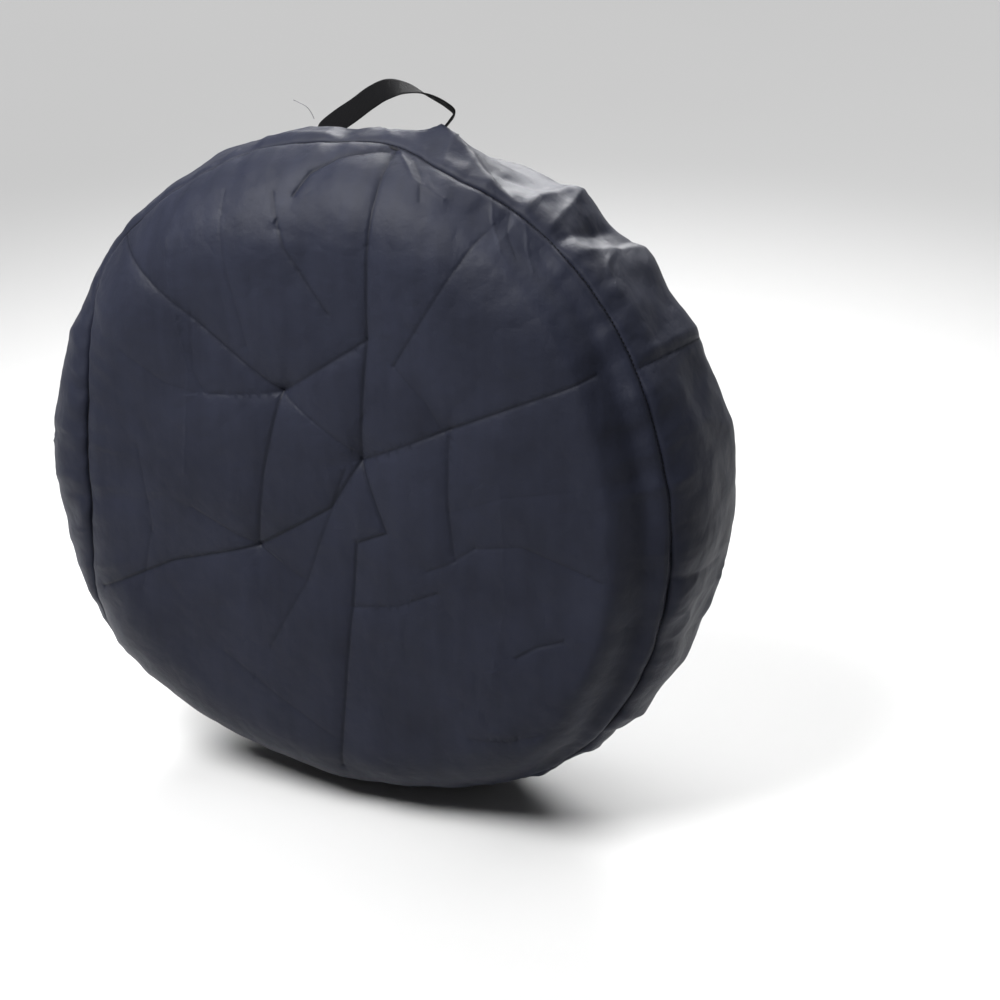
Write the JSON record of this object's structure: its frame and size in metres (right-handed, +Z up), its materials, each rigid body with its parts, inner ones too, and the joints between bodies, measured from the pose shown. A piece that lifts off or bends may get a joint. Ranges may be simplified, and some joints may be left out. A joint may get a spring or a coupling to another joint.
{
  "type": "spare tire cover",
  "caption": "Round cloth cover that slips over a spare wheel: flat front panel, sewn side wall gathered behind on an elastic hem, webbing carry handle on top.",
  "frame": {"origin": "on the floor under the middle of the cover, as it stands on its tread with a wheel inside", "axes": "+Z up, through the carry handle; +Y along the wheel's axis towards the elastic opening at the back, so the front panel faces -Y; +X to the right of someone who looks at the front panel"},
  "size_m": [0.65, 0.2254, 0.69],
  "materials": {
    "cover_cloth": "dark navy coated polyester, fine plain weave, soft sheen",
    "webbing": "black ribbed polypropylene webbing",
    "sewing_thread": "black polyester sewing thread",
    "overlock_thread": "dark overlock edging over the seam allowances",
    "elastic": "black braided flat elastic"
  },
  "bodies": {
    "cover": {"front_panel": "cover_cloth", "side_wall": "cover_cloth", "back_skirt": "cover_cloth", "hem_casing": "cover_cloth", "front_seam_overlock": "overlock_thread", "front_seam_thread": "sewing_thread", "wall_seam_overlock": "overlock_thread", "wall_seam_thread": "sewing_thread", "hem_elastic": "elastic", "hem_thread": "sewing_thread", "handle_tab_left": "webbing", "handle_tab_right": "webbing", "handle_patch_left": "cover_cloth", "handle_patch_right": "cover_cloth", "handle_thread_left": "sewing_thread", "handle_thread_right": "sewing_thread"},
    "handle": {"handle_loop": "webbing"}
  },
  "joints": [
    {"name": "handle_flop", "type": "hinge", "parent": "cover", "child": "handle", "pos_m": [0, 0.0143, 0.65112], "axis": [1, 0, 0], "range_deg": [-80, 80]}
  ]
}
